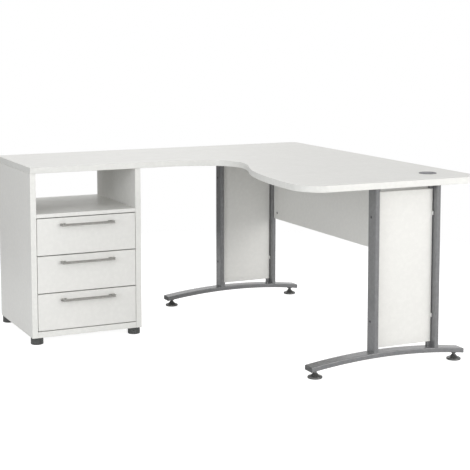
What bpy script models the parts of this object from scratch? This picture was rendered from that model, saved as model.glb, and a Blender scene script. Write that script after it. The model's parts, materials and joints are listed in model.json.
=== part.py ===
"""Corner desk: an L-shaped worktop on a three-drawer pedestal and two arched leg frames.

Metres, +Z up, +X to the right and +Y to the back for someone facing the drawers.
The origin is on the floor, under the middle of the worktop's outline.
"""

import math

import bmesh
import bpy
from mathutils import Matrix

# Driving dimensions
DESK_LENGTH = 1.505
DESK_DEPTH = 1.550
DESK_HEIGHT = 0.742
TOP_THICKNESS = 0.025
WING_DEPTH = 0.535
GAP = 0.0003

LEFT = -DESK_LENGTH / 2
RIGHT = DESK_LENGTH / 2
FRONT = -DESK_DEPTH / 2
BACK = DESK_DEPTH / 2
WING_FRONT = BACK - WING_DEPTH
TOP_UNDERSIDE = DESK_HEIGHT - TOP_THICKNESS
UNDER_TOP = TOP_UNDERSIDE - GAP
TOP_FRONT_CORNER = 0.040
TOP_BACK_CORNER = 0.030
CIRCLE_HANDLE = 0.5523
CURVE_STEPS = 10
ROUND_STEPS = 48
WELD_DISTANCE = 0.00001
FLAT_ANGLE = math.radians(0.05)
SHARP_ANGLE = math.radians(30)
CUT_PAST = 0.010
EDGE_BREAK = 0.001

# Cable outlet in the right wing
GROMMET_X = RIGHT - 0.142
GROMMET_Y = FRONT + 0.170
GROMMET_HOLE = 0.030
LINER_RADIUS = 0.0297
LINER_WALL = 0.0017
LINER_FLANGE = 0.035
FLANGE_THICKNESS = 0.0025
LINER_LIFT = 0.003
LINER_BOTTOM = TOP_UNDERSIDE + LINER_LIFT
CAP_RADIUS = 0.0276
CAP_THICKNESS = 0.0022
CAP_SKIRT = 0.012
NOTCH_WIDTH = 0.018
NOTCH_DEPTH = 0.013

# Pedestal
PED_WIDTH = 0.483
PED_DEPTH = 0.490
PED_LEFT = LEFT
PED_RIGHT = PED_LEFT + PED_WIDTH
PED_FRONT = WING_FRONT + 0.005
PED_BACK = PED_FRONT + PED_DEPTH
PED_BOTTOM = 0.029
SIDE_THICKNESS = 0.024
INNER_LEFT = PED_LEFT + SIDE_THICKNESS
INNER_RIGHT = PED_RIGHT - SIDE_THICKNESS
FLOOR_BOARD = 0.025
SHELF_UNDERSIDE = 0.531
SHELF_THICKNESS = 0.016
BACK_PANEL = 0.004
BACK_RECESS = 0.006
FOOT_RADIUS = 0.0265
FOOT_INSET = 0.0265
FOOT_TAPER = 0.002
FOOT_RIM = 0.003

# Drawers, counted from the top
DRAWER_NAMES = ("drawer_1", "drawer_2", "drawer_3")
LOWEST_FRONT = 0.0575
FRONT_HEIGHT = 0.154
FRONT_PITCH = 0.158
FRONT_THICKNESS = 0.016
FRONT_MARGIN = 0.002
RUNNER_SPACE = 0.0125
BOX_WALL = 0.012
BOX_LENGTH = 0.420
BOX_LIFT = 0.014
BOX_HEIGHT = 0.100
BOX_BOTTOM = 0.004
BOX_BOTTOM_LIFT = 0.008
RUNNER_STEEL = 0.0012
RUNNER_HEIGHT = 0.024
RUNNER_DEPTH = 0.009
RUNNER_FOOT = 0.009
RUNNER_LEG = 0.020
RUNNER_FLANGE_LIFT = 0.010
RUNNER_FLANGE_REACH = 0.0045
RUNNER_START = 0.020
RUNNER_LENGTH = 0.400
HANDLE_LENGTH = 0.231
HANDLE_REACH = 0.030
HANDLE_BAR = 0.0075
HANDLE_HEIGHT = 0.008
HANDLE_LIFT = 0.126
HANDLE_POST = 0.011
HANDLE_FLARE = 0.011
HANDLE_CORNER = 0.006
HANDLE_INNER_CORNER = 0.004
HANDLE_STEPS = 5

# Leg frames
TUBE_DEPTH = 0.054
TUBE_WIDTH = 0.019
TUBE_WALL = 0.0015
RAIL_LENGTH = 0.6875
RAIL_END_BOTTOM = 0.0285
RAIL_RISE = 0.025
RAIL_STEPS = 24
CAP_PLATE = 0.002
CAP_PLUG = 0.008
PLUG_CLEARANCE = 0.002
UPRIGHT_OFFSETS = (0.272, 0.548)
INFILL_SETBACK = 0.025
BOARD = 0.016
INFILL_BOTTOM = 0.0855
INFILL_TOP = 0.691
INFILL_MARGIN = 0.003
LUG_LENGTH = 0.016
GLIDE_OFFSETS = (0.029, 0.658)
GLIDE_STEM = 0.005
GLIDE_STEM_LENGTH = 0.014
STEM_HOLE_DEPTH = 0.008
GLIDE_COLLAR = 0.012
GLIDE_NECK = 0.006
GLIDE_DISC = 0.0285
GLIDE_STEPS = 32
SADDLE_CUT = 0.030
FRAMES = {
    "rear_frame": (LEFT + 0.7805, FRONT + 1.444),
    "front_frame": (LEFT + 0.796, FRONT + 0.075),
}

# Modesty panel
MODESTY_LEFT = LEFT + 1.337
MODESTY_BOTTOM = 0.386


def clear_scene():
    for leftover in list(bpy.data.objects):
        bpy.data.objects.remove(leftover, do_unlink=True)


def new_collection(name):
    collection = bpy.data.collections.new(name)
    bpy.context.scene.collection.children.link(collection)
    return collection


def new_material(name, colour, roughness, metallic=0.0):
    material = bpy.data.materials.new(name)
    material.use_nodes = True
    shader = material.node_tree.nodes["Principled BSDF"]
    shader.inputs["Base Color"].default_value = (*colour, 1.0)
    shader.inputs["Roughness"].default_value = roughness
    shader.inputs["Metallic"].default_value = metallic
    return material


clear_scene()
PARTS = new_collection("corner_desk")
CUTTERS = new_collection("cutters")
CUTTERS.hide_render = True
WHITE_LAMINATE = new_material("white_laminate", (0.80, 0.80, 0.78), 0.42)
DRAWER_BOARD = new_material("drawer_board", (0.74, 0.74, 0.72), 0.55)
FRAME_STEEL = new_material("frame_steel", (0.26, 0.26, 0.27), 0.45, 0.6)
HANDLE_METAL = new_material("handle_metal", (0.33, 0.33, 0.32), 0.35, 0.9)
RUNNER_ZINC = new_material("runner_zinc", (0.62, 0.63, 0.64), 0.35, 0.9)
DARK_PLASTIC = new_material("dark_plastic", (0.10, 0.10, 0.10), 0.5)
GROMMET_PLASTIC = new_material("grommet_plastic", (0.24, 0.24, 0.25), 0.5)


def add_object(name, mesh, material):
    part = bpy.data.objects.new(name, mesh)
    mesh.materials.append(material)
    PARTS.objects.link(part)
    return part


def as_cutter(helper):
    """Takes the object out of the model, to be used only by Boolean modifiers."""
    PARTS.objects.unlink(helper)
    CUTTERS.objects.link(helper)
    helper.hide_render = True
    helper.display_type = "WIRE"
    return helper


def combine(part, other, operation="DIFFERENCE"):
    boolean = part.modifiers.new(operation.lower(), "BOOLEAN")
    boolean.operation = operation
    boolean.object = as_cutter(other)


def cube_mesh(name, size):
    mesh = bpy.data.meshes.new(name)
    shape = bmesh.new()
    bmesh.ops.create_cube(shape, size=1.0, matrix=Matrix.Diagonal((*size, 1.0)))
    shape.to_mesh(mesh)
    shape.free()
    return mesh


def board(name, x, y, z, material=WHITE_LAMINATE):
    """A block that spans the (low, high) pairs x, y and z."""
    size = [high - low for low, high in (x, y, z)]
    part = add_object(name, cube_mesh(name, size), material)
    part.location = [(low + high) / 2 for low, high in (x, y, z)]
    return part


def cylinder(name, radius, x, y, z):
    """An upright cylinder round (x, y) that spans the (low, high) pair z."""
    mesh = bpy.data.meshes.new(name)
    shape = bmesh.new()
    bmesh.ops.create_cone(
        shape,
        cap_ends=True,
        segments=ROUND_STEPS,
        radius1=radius,
        radius2=radius,
        depth=z[1] - z[0],
    )
    shape.to_mesh(mesh)
    shape.free()
    part = add_object(name, mesh, GROMMET_PLASTIC)
    part.location = (x, y, (z[0] + z[1]) / 2)
    return part


def turned(name, profile, material, location, steps=ROUND_STEPS):
    """A solid of revolution about its own Z. The profile runs down its outer side, top to bottom."""
    mesh = bpy.data.meshes.new(name)
    shape = bmesh.new()
    points = [shape.verts.new((radius, 0.0, height)) for radius, height in profile]
    for upper, lower in zip(points, points[1:]):
        shape.edges.new((upper, lower))
    shape.to_mesh(mesh)
    shape.free()
    part = add_object(name, mesh, material)
    part.location = location
    screw = part.modifiers.new("turn", "SCREW")
    screw.steps = steps
    screw.render_steps = steps
    screw.use_merge_vertices = True
    screw.merge_threshold = 0.0001
    return part


def filled_curve(name, thickness):
    curve = bpy.data.curves.new(name, "CURVE")
    curve.dimensions = "2D"
    curve.fill_mode = "BOTH"
    curve.extrude = thickness / 2
    curve.resolution_u = CURVE_STEPS
    return curve


def curve_to_part(name, curve, material, matrix):
    """The filled curve as a welded mesh object, standing where the matrix puts it."""
    outline = bpy.data.objects.new(name + "_outline", curve)
    PARTS.objects.link(outline)
    outline.matrix_world = matrix
    bpy.context.view_layer.update()
    graph = bpy.context.evaluated_depsgraph_get()
    mesh = bpy.data.meshes.new_from_object(outline.evaluated_get(graph))
    mesh.name = name
    shape = bmesh.new()
    shape.from_mesh(mesh)
    bmesh.ops.remove_doubles(shape, verts=shape.verts, dist=WELD_DISTANCE)
    bmesh.ops.dissolve_limit(
        shape, angle_limit=FLAT_ANGLE, verts=shape.verts, edges=shape.edges
    )
    bmesh.ops.recalc_face_normals(shape, faces=shape.faces)
    shape.to_mesh(mesh)
    shape.free()
    mesh.materials.clear()
    part = add_object(name, mesh, material)
    part.matrix_world = outline.matrix_world
    bpy.data.objects.remove(outline)
    return part


def plate(name, points, thickness, material, matrix):
    """A flat piece with a polygon outline, extruded evenly to both sides of its plane."""
    curve = filled_curve(name, thickness)
    spline = curve.splines.new("POLY")
    spline.points.add(len(points) - 1)
    for corner, (x, y) in zip(spline.points, points):
        corner.co = (x, y, 0.0, 1.0)
    spline.use_cyclic_u = True
    return curve_to_part(name, curve, material, matrix)


def facing_front(y):
    """Puts an outline drawn in x and z into the upright plane at y."""
    return Matrix.Translation((0.0, y, 0.0)) @ Matrix.Rotation(math.pi / 2, 4, "X")


def arc(centre, radius, start, end, steps):
    """Points round the centre, from one angle in degrees to the other."""
    angles = [math.radians(start + (end - start) * i / steps) for i in range(steps + 1)]
    return [
        (centre[0] + radius * math.cos(a), centre[1] + radius * math.sin(a))
        for a in angles
    ]


# Worktop and cable outlet


def worktop_bends():
    """x, y, heading in degrees, and handle lengths before and after, anticlockwise from the left.

    The front edge leaves the left wing, dips into the user's corner and runs out along
    the right wing to a rounded nose.
    """
    front_handle = TOP_FRONT_CORNER * CIRCLE_HANDLE
    back_handle = TOP_BACK_CORNER * CIRCLE_HANDLE
    return (
        (LEFT, WING_FRONT, 0, 0, 0),
        (LEFT + 0.600, WING_FRONT, 0, 0, 0.070),
        (LEFT + 0.790, WING_FRONT - 0.048, -20, 0.055, 0.040),
        (LEFT + 0.8695, WING_FRONT - 0.175, -90, 0.050, 0.080),
        (LEFT + 0.800, WING_FRONT - 0.405, -110, 0.070, 0.130),
        (LEFT + 0.727, FRONT + 0.115, -90, 0.180, 0.060),
        (LEFT + 0.825, FRONT, 0, 0.050, 0),
        (RIGHT - TOP_FRONT_CORNER, FRONT, 0, 0, front_handle),
        (RIGHT, FRONT + TOP_FRONT_CORNER, 90, front_handle, 0),
        (RIGHT, BACK - TOP_BACK_CORNER, 90, 0, back_handle),
        (RIGHT - TOP_BACK_CORNER, BACK, 180, back_handle, 0),
        (LEFT, BACK, 180, 0, 0),
    )


def build_worktop():
    curve = filled_curve("worktop", TOP_THICKNESS)
    bends = worktop_bends()
    spline = curve.splines.new("BEZIER")
    spline.bezier_points.add(len(bends) - 1)
    for point, (x, y, heading, before, after) in zip(spline.bezier_points, bends):
        ahead_x = math.cos(math.radians(heading))
        ahead_y = math.sin(math.radians(heading))
        point.co = (x, y, 0.0)
        point.handle_left = (x - before * ahead_x, y - before * ahead_y, 0.0)
        point.handle_right = (x + after * ahead_x, y + after * ahead_y, 0.0)
    spline.use_cyclic_u = True
    middle = DESK_HEIGHT - TOP_THICKNESS / 2
    matrix = Matrix.Translation((0.0, 0.0, middle))
    worktop = curve_to_part("worktop", curve, WHITE_LAMINATE, matrix)
    around = (TOP_UNDERSIDE - CUT_PAST, DESK_HEIGHT + CUT_PAST)
    hole = cylinder("grommet_hole", GROMMET_HOLE, GROMMET_X, GROMMET_Y, around)
    combine(worktop, hole)


def build_grommet():
    flange_bottom = DESK_HEIGHT + GAP
    flange_top = flange_bottom + FLANGE_THICKNESS
    inner = LINER_RADIUS - LINER_WALL
    liner_profile = (
        (inner, flange_top),
        (LINER_FLANGE - EDGE_BREAK, flange_top),
        (LINER_FLANGE, flange_top - EDGE_BREAK),
        (LINER_FLANGE, flange_bottom),
        (LINER_RADIUS, flange_bottom),
        (LINER_RADIUS, LINER_BOTTOM),
        (inner, LINER_BOTTOM),
        (inner, flange_top),
    )
    place = (GROMMET_X, GROMMET_Y, 0.0)
    turned("grommet_liner", liner_profile, GROMMET_PLASTIC, place)
    skirt_inside = CAP_RADIUS - LINER_WALL
    cap_profile = (
        (0.0, flange_top),
        (CAP_RADIUS, flange_top),
        (CAP_RADIUS, flange_top - CAP_SKIRT),
        (skirt_inside, flange_top - CAP_SKIRT),
        (skirt_inside, flange_top - CAP_THICKNESS),
        (0.0, flange_top - CAP_THICKNESS),
    )
    cap = turned("grommet_cap", cap_profile, GROMMET_PLASTIC, place)
    notch_start = CAP_RADIUS - NOTCH_DEPTH
    notch = board(
        "cap_notch",
        (GROMMET_X + notch_start, GROMMET_X + CAP_RADIUS + CUT_PAST),
        (GROMMET_Y - NOTCH_WIDTH / 2, GROMMET_Y + NOTCH_WIDTH / 2),
        (TOP_UNDERSIDE, flange_top + CUT_PAST),
    )
    combine(cap, notch)


# Pedestal


def build_pedestal():
    depth = (PED_FRONT, PED_BACK)
    height = (PED_BOTTOM, UNDER_TOP)
    between = (INNER_LEFT + GAP, INNER_RIGHT - GAP)
    board("pedestal_left_side", (PED_LEFT, INNER_LEFT), depth, height)
    board("pedestal_right_side", (INNER_RIGHT, PED_RIGHT), depth, height)
    floor_top = PED_BOTTOM + FLOOR_BOARD
    board("pedestal_bottom", between, depth, (PED_BOTTOM, floor_top))
    shelf = (SHELF_UNDERSIDE, SHELF_UNDERSIDE + SHELF_THICKNESS)
    board("pedestal_shelf", between, depth, shelf)
    back_face = PED_BACK - BACK_RECESS
    board(
        "pedestal_back",
        between,
        (back_face - BACK_PANEL, back_face),
        (floor_top + GAP, SHELF_UNDERSIDE - GAP),
    )


def build_pedestal_feet():
    top = PED_BOTTOM - GAP
    profile = (
        (0.0, top),
        (FOOT_RADIUS - FOOT_TAPER, top),
        (FOOT_RADIUS - EDGE_BREAK, FOOT_RIM + EDGE_BREAK),
        (FOOT_RADIUS, FOOT_RIM),
        (FOOT_RADIUS, EDGE_BREAK),
        (FOOT_RADIUS - EDGE_BREAK, 0.0),
        (0.0, 0.0),
    )
    columns = {"left": PED_LEFT + FOOT_INSET, "right": PED_RIGHT - FOOT_INSET}
    rows = {"front": PED_FRONT + FOOT_INSET, "back": PED_BACK - FOOT_INSET}
    for row, y in rows.items():
        for column, x in columns.items():
            turned(f"pedestal_foot_{row}_{column}", profile, DARK_PLASTIC, (x, y, 0.0))


# Drawers and their runners


def runner_plate(name, points, wall, inward, bottom, start, length):
    """A rolled steel section that runs front to back; its points count inwards from the wall and up."""
    outline = [(wall + inward * x, bottom + z) for x, z in points]
    middle = PED_FRONT + start + length / 2
    return plate(name, outline, length, RUNNER_ZINC, facing_front(middle))


def cabinet_runner_section():
    """A C that opens inwards, screwed to the side board."""
    outer = GAP
    web = GAP + RUNNER_STEEL
    lower = RUNNER_STEEL
    upper = RUNNER_HEIGHT - RUNNER_STEEL
    return (
        (outer, 0.0),
        (RUNNER_DEPTH, 0.0),
        (RUNNER_DEPTH, lower),
        (web, lower),
        (web, upper),
        (RUNNER_DEPTH, upper),
        (RUNNER_DEPTH, RUNNER_HEIGHT),
        (outer, RUNNER_HEIGHT),
    )


def drawer_runner_section():
    """A leg beside and under the drawer's side, and a flange that rolls inside the C."""
    side_face = RUNNER_SPACE - GAP
    leg = side_face - RUNNER_STEEL
    under_top = -GAP
    under_bottom = under_top - RUNNER_STEEL
    under_reach = RUNNER_SPACE + RUNNER_FOOT
    flange_high = RUNNER_FLANGE_LIFT + RUNNER_STEEL
    return (
        (leg, under_bottom),
        (under_reach, under_bottom),
        (under_reach, under_top),
        (side_face, under_top),
        (side_face, RUNNER_LEG),
        (leg, RUNNER_LEG),
        (leg, flange_high),
        (RUNNER_FLANGE_REACH, flange_high),
        (RUNNER_FLANGE_REACH, RUNNER_FLANGE_LIFT),
        (leg, RUNNER_FLANGE_LIFT),
    )


def handle_outline():
    """The pull in plan, from its left foot round the bar to its right foot, in x and y."""
    half = HANDLE_LENGTH / 2
    back = -GAP
    bar_back = -HANDLE_REACH + HANDLE_BAR
    corner = HANDLE_CORNER
    inner_corner = HANDLE_INNER_CORNER
    post_inside = half - HANDLE_POST
    foot_inside = post_inside - HANDLE_FLARE
    left_side = [
        *arc((-foot_inside, back - HANDLE_FLARE), HANDLE_FLARE, 180, 90, HANDLE_STEPS),
        (-half, back),
        *arc((-half + corner, -HANDLE_REACH + corner), corner, 180, 270, HANDLE_STEPS),
    ]
    inner_centre = (-post_inside + inner_corner, bar_back + inner_corner)
    inner_left = arc(inner_centre, inner_corner, 270, 180, HANDLE_STEPS)
    right_side = [(-x, y) for x, y in reversed(left_side)]
    inner_right = [(-x, y) for x, y in reversed(inner_left)]
    return left_side + right_side + inner_right + inner_left


def build_handle(name, bottom):
    x = (PED_LEFT + PED_RIGHT) / 2
    place = Matrix.Translation((x, PED_FRONT, bottom + HANDLE_LIFT))
    return plate(name, handle_outline(), HANDLE_HEIGHT, HANDLE_METAL, place)


def build_drawer_box(name, bottom):
    left = INNER_LEFT + RUNNER_SPACE
    right = INNER_RIGHT - RUNNER_SPACE
    start = PED_FRONT + FRONT_THICKNESS + GAP
    end = start + BOX_LENGTH
    low = bottom + BOX_LIFT
    height = (low, low + BOX_HEIGHT)
    inside = (left + BOX_WALL + GAP, right - BOX_WALL - GAP)
    floor_low = low + BOX_BOTTOM_LIFT
    return [
        board(name + "_left_side", (left, left + BOX_WALL), (start, end), height, DRAWER_BOARD),
        board(name + "_right_side", (right - BOX_WALL, right), (start, end), height, DRAWER_BOARD),
        board(name + "_back", inside, (end - BOX_WALL, end), height, DRAWER_BOARD),
        board(
            name + "_bottom",
            inside,
            (start, end - BOX_WALL - GAP),
            (floor_low, floor_low + BOX_BOTTOM),
            DRAWER_BOARD,
        ),
    ]


def build_drawer(name, bottom):
    """The drawer hangs on an empty at its front, on the line that it slides along."""
    slide = bpy.data.objects.new(name + "_slide", None)
    PARTS.objects.link(slide)
    slide.location = ((PED_LEFT + PED_RIGHT) / 2, PED_FRONT, bottom + BOX_LIFT)
    front = board(
        name + "_front",
        (INNER_LEFT + FRONT_MARGIN, INNER_RIGHT - FRONT_MARGIN),
        (PED_FRONT, PED_FRONT + FRONT_THICKNESS),
        (bottom, bottom + FRONT_HEIGHT),
    )
    pieces = [front, build_handle(name + "_handle", bottom), *build_drawer_box(name, bottom)]
    walls = {"left": (INNER_LEFT, 1), "right": (INNER_RIGHT, -1)}
    box_bottom = bottom + BOX_LIFT
    box_start = FRONT_THICKNESS + 2 * GAP
    for side, (wall, inward) in walls.items():
        runner_plate(
            f"{name}_cabinet_runner_{side}",
            cabinet_runner_section(),
            wall,
            inward,
            box_bottom,
            RUNNER_START,
            RUNNER_LENGTH,
        )
        pieces.append(
            runner_plate(
                f"{name}_runner_{side}",
                drawer_runner_section(),
                wall,
                inward,
                box_bottom,
                box_start,
                BOX_LENGTH - GAP,
            )
        )
    bpy.context.view_layer.update()
    for piece in pieces:
        piece.parent = slide
        piece.matrix_parent_inverse = slide.matrix_world.inverted()


# Leg frames


def arch(offset):
    """Height of the rail's underside above its ends, at a distance from its left end."""
    half = RAIL_LENGTH / 2
    radius = (half**2 + RAIL_RISE**2) / (2 * RAIL_RISE)
    return math.sqrt(radius**2 - (offset - half) ** 2) - (radius - RAIL_RISE)


def arch_outline(left, start, end, below, above):
    """The rail between two offsets, grown or shrunk by the distances below and above it."""
    steps = [start + (end - start) * i / RAIL_STEPS for i in range(RAIL_STEPS + 1)]
    low = RAIL_END_BOTTOM + below
    high = RAIL_END_BOTTOM + TUBE_WIDTH + above
    underside = [(left + s, low + arch(s)) for s in steps]
    top = [(left + s, high + arch(s)) for s in reversed(steps)]
    return underside + top


def build_rail(frame, left, front):
    middle = front + TUBE_DEPTH / 2
    ends = (CAP_PLATE + GAP, RAIL_LENGTH - CAP_PLATE - GAP)
    solid = arch_outline(left, *ends, 0.0, 0.0)
    rail = plate(frame + "_foot_rail", solid, TUBE_DEPTH, FRAME_STEEL, facing_front(middle))
    hollow = arch_outline(left, 0.0, RAIL_LENGTH, TUBE_WALL, -TUBE_WALL)
    inside = plate(
        frame + "_rail_hollow",
        hollow,
        TUBE_DEPTH - 2 * TUBE_WALL,
        FRAME_STEEL,
        facing_front(middle),
    )
    combine(rail, inside)
    for offset in GLIDE_OFFSETS:
        low = RAIL_END_BOTTOM + arch(offset)
        stem_hole = cylinder(
            f"{frame}_stem_hole_{offset}",
            GLIDE_STEM + GAP,
            left + offset,
            middle,
            (low - CUT_PAST, low + STEM_HOLE_DEPTH),
        )
        combine(rail, stem_hole)


def build_rail_caps(frame, left, front):
    """A plastic plug in each end of the rail: a plate as large as the tube, and a tongue inside it."""
    ends = {"left": (left, 1), "right": (left + RAIL_LENGTH, -1)}
    depth = (front, front + TUBE_DEPTH)
    height = (RAIL_END_BOTTOM, RAIL_END_BOTTOM + TUBE_WIDTH)
    margin = TUBE_WALL + PLUG_CLEARANCE
    tongue_depth = (depth[0] + margin, depth[1] - margin)
    tongue_height = (height[0] + margin, height[1] - margin)
    for side, (end, inward) in ends.items():
        plate_edge = end + inward * CAP_PLATE
        tongue_edge = plate_edge + inward * CAP_PLUG
        name = f"{frame}_end_cap_{side}"
        cap = board(name, sorted((end, plate_edge)), depth, height, DARK_PLASTIC)
        root = end + inward * CAP_PLATE / 2
        tongue = board(name + "_tongue", sorted((root, tongue_edge)), tongue_depth, tongue_height)
        combine(cap, tongue, "UNION")


def build_uprights(frame, left, front):
    """Two tubes on the rail, each with a lug under and over the infill panel's corner."""
    depth = (front, front + TUBE_DEPTH)
    lug_depth = (front + INFILL_SETBACK, front + INFILL_SETBACK + BOARD)
    for side, offset, inward in zip(("left", "right"), UPRIGHT_OFFSETS, (1, -1)):
        x = left + offset
        name = f"{frame}_upright_{side}"
        upright = board(name, (x, x + TUBE_WIDTH), depth, (RAIL_END_BOTTOM, UNDER_TOP), FRAME_STEEL)
        inner_face = x + TUBE_WIDTH if inward > 0 else x
        reach = sorted((inner_face - inward * TUBE_WALL / 2, inner_face + inward * LUG_LENGTH))
        lugs = {
            "lower_lug": (RAIL_END_BOTTOM, INFILL_BOTTOM - GAP),
            "upper_lug": (INFILL_TOP + GAP, UNDER_TOP),
        }
        for lug, height in lugs.items():
            combine(upright, board(f"{name}_{lug}", reach, lug_depth, height), "UNION")
        hollow = board(
            name + "_hollow",
            (x + TUBE_WALL, x + TUBE_WIDTH - TUBE_WALL),
            (depth[0] + TUBE_WALL, depth[1] - TUBE_WALL),
            (0.0, DESK_HEIGHT),
        )
        combine(upright, hollow)
        envelope = plate(
            name + "_saddle",
            arch_outline(left, 0.0, RAIL_LENGTH, -SADDLE_CUT, GAP),
            TUBE_DEPTH + 2 * CUT_PAST,
            FRAME_STEEL,
            facing_front(front + TUBE_DEPTH / 2),
        )
        combine(upright, envelope)


def build_infill(frame, left, front):
    start = left + UPRIGHT_OFFSETS[0] + TUBE_WIDTH + INFILL_MARGIN
    end = left + UPRIGHT_OFFSETS[1] - INFILL_MARGIN
    face = front + INFILL_SETBACK
    board(frame + "_infill_panel", (start, end), (face, face + BOARD), (INFILL_BOTTOM, INFILL_TOP))


def glide_profile(under_rail):
    """Stem, collar and neck below the rail, then a cone that flares to the disc on the floor."""
    return (
        (0.0, under_rail + GLIDE_STEM_LENGTH),
        (GLIDE_STEM, under_rail + GLIDE_STEM_LENGTH),
        (GLIDE_STEM, under_rail),
        (GLIDE_COLLAR, under_rail),
        (GLIDE_COLLAR - EDGE_BREAK, under_rail - 0.003),
        (GLIDE_NECK, under_rail - 0.007),
        (GLIDE_NECK + EDGE_BREAK, under_rail - 0.010),
        (GLIDE_DISC - 0.0095, 0.0105),
        (GLIDE_DISC - 0.0025, 0.0085),
        (GLIDE_DISC, 0.0060),
        (GLIDE_DISC, 0.0025),
        (GLIDE_DISC - 0.002, 0.0),
        (0.0, 0.0),
    )


def build_glides(frame, left, front):
    """Screw-in levelling feet; each turns about its own stem."""
    for side, offset in zip(("left", "right"), GLIDE_OFFSETS):
        lowest_above = min(arch(offset - GLIDE_COLLAR), arch(offset + GLIDE_COLLAR))
        under_rail = RAIL_END_BOTTOM + lowest_above - GAP
        place = (left + offset, front + TUBE_DEPTH / 2, 0.0)
        profile = glide_profile(under_rail)
        turned(f"{frame}_glide_{side}", profile, DARK_PLASTIC, place, steps=GLIDE_STEPS)


def build_modesty_panel():
    rear_face = FRAMES["rear_frame"][1]
    front_face = FRAMES["front_frame"][1] + TUBE_DEPTH
    board(
        "modesty_panel",
        (MODESTY_LEFT, MODESTY_LEFT + BOARD),
        (front_face + GAP, rear_face - GAP),
        (MODESTY_BOTTOM, UNDER_TOP),
    )


def shade_round_parts():
    for part in PARTS.objects:
        if part.type == "MESH":
            part.data.shade_smooth()
            part.data.set_sharp_from_angle(angle=SHARP_ANGLE)


def main():
    build_worktop()
    build_grommet()
    build_pedestal()
    build_pedestal_feet()
    for level, name in enumerate(reversed(DRAWER_NAMES)):
        build_drawer(name, LOWEST_FRONT + level * FRONT_PITCH)
    for frame, (left, front) in FRAMES.items():
        build_rail(frame, left, front)
        build_rail_caps(frame, left, front)
        build_uprights(frame, left, front)
        build_infill(frame, left, front)
        build_glides(frame, left, front)
    build_modesty_panel()
    shade_round_parts()


main()
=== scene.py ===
"""Looks of the corner desk: every board, tube and fitting rebuilt in fine detail round the CAD frame.

Metres, +Z up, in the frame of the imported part. Places and sizes come from the CAD nodes' boxes.
"""

import itertools
import json
import math

import bmesh
import bpy
from mathutils import Matrix, Vector

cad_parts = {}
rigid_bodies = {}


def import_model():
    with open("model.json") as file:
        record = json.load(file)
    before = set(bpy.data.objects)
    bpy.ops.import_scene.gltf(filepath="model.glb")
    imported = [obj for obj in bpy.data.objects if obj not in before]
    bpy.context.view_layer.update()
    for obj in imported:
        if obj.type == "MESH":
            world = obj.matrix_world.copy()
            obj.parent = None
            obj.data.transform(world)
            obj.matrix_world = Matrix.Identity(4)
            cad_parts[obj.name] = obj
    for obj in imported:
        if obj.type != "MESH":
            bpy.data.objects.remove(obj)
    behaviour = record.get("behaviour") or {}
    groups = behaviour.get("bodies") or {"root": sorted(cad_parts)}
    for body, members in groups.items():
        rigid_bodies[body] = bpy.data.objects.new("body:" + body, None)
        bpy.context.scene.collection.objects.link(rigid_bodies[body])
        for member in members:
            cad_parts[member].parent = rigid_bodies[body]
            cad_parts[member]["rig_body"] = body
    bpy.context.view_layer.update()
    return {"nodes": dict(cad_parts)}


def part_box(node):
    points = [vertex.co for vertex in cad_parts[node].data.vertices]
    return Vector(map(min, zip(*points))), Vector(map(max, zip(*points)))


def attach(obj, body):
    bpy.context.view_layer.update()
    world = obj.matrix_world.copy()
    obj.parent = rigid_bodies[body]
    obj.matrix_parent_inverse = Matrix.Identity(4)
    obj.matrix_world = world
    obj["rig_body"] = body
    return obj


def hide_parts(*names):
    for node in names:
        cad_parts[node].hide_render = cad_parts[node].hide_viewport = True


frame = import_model()
NODES = frame["nodes"]

# Boards
BAND = 0.002
BAND_ROUND = 0.0010
TOP_BAND_ROUND = 0.0014
GLUE_LINE = 0.0003
GLUE_DEPTH = 0.00012
PLAN_CORNER = 0.0015
ROUND_STEPS = 4

# Drawers
RUNNER_SHEET = 0.0012
RUNNER_LEG = 0.0122
RUNNER_FOOT = 0.0215
RUNNER_SCREWS = (0.12, 0.5, 0.88)
PULL_ROUND = 0.0026
BOX_BAND_ROUND = 0.0007
HARDBOARD_ROUND = 0.0006

# Cable outlet
FLANGE_REACH = 0.0053
SLEEVE_WALL = 0.0017
FLANGE_THICKNESS = 0.0025
CAP_THICKNESS = 0.0022
SKIRT_DROP = 0.0023
CAP_SLOT = 0.0085
CAP_SLOT_DEPTH = 0.0130

# Leg frames
TUBE_ROUND = 0.0032
RAIL_STEPS = 40
WELD_RADIUS = 0.0022
WELD_INSET = 0.004
LUG_ROUND = 0.0010
FITTING_HEIGHTS = (0.190, 0.595)
CLIP_LIP = 0.0050
CLIP_STANDING = 0.0045
CLIP_HALF = 0.0075
CLIP_ROUND = 0.0009
# Height under which a glide is dark plastic, its upright rim included: partly a real pad, partly
# painted shade.
GLIDE_PAD_AND_SHADE = 0.0056
GLIDE_STEM_TOP = 0.014

# Modesty panel
CAM_INSET = 0.032
CAM_LOW = 0.030
CAM_HIGH = 0.048
CAM_HOLE = 0.0065
CAM_HOLE_DEPTH = 0.011

# Studio
FLOOR_RADIUS = 6.0
FLOOR_DROP = 0.0002
FLOOR_LIGHT = 0.24
FLOOR_SEEN = 0.84
FLOOR_FADE = (1.5, 2.8)
AMBIENT = 0.79
DIMMED = 0.08
DIM_SIDE = (-0.43, 0.90, 0.0)
LENS = 97.60
SENSOR = 36.0
LENS_SHIFT = -0.16
CAMERA_PLACE = (-2.2072, -4.7797, 1.3378)
CAMERA_PITCH = 6.22
CAMERA_YAW = 25.36
WARM = (1.0, 0.985, 0.965)
WARMER = (1.0, 0.98, 0.965)
COOL = (0.93, 0.96, 1.0)
NEUTRAL = (1.0, 1.0, 1.0)

WEAR_ANGLE = math.radians(9)
SHARP_ANGLE = math.radians(38)
CIRCLE_STEPS = 64


# Mesh building


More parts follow.
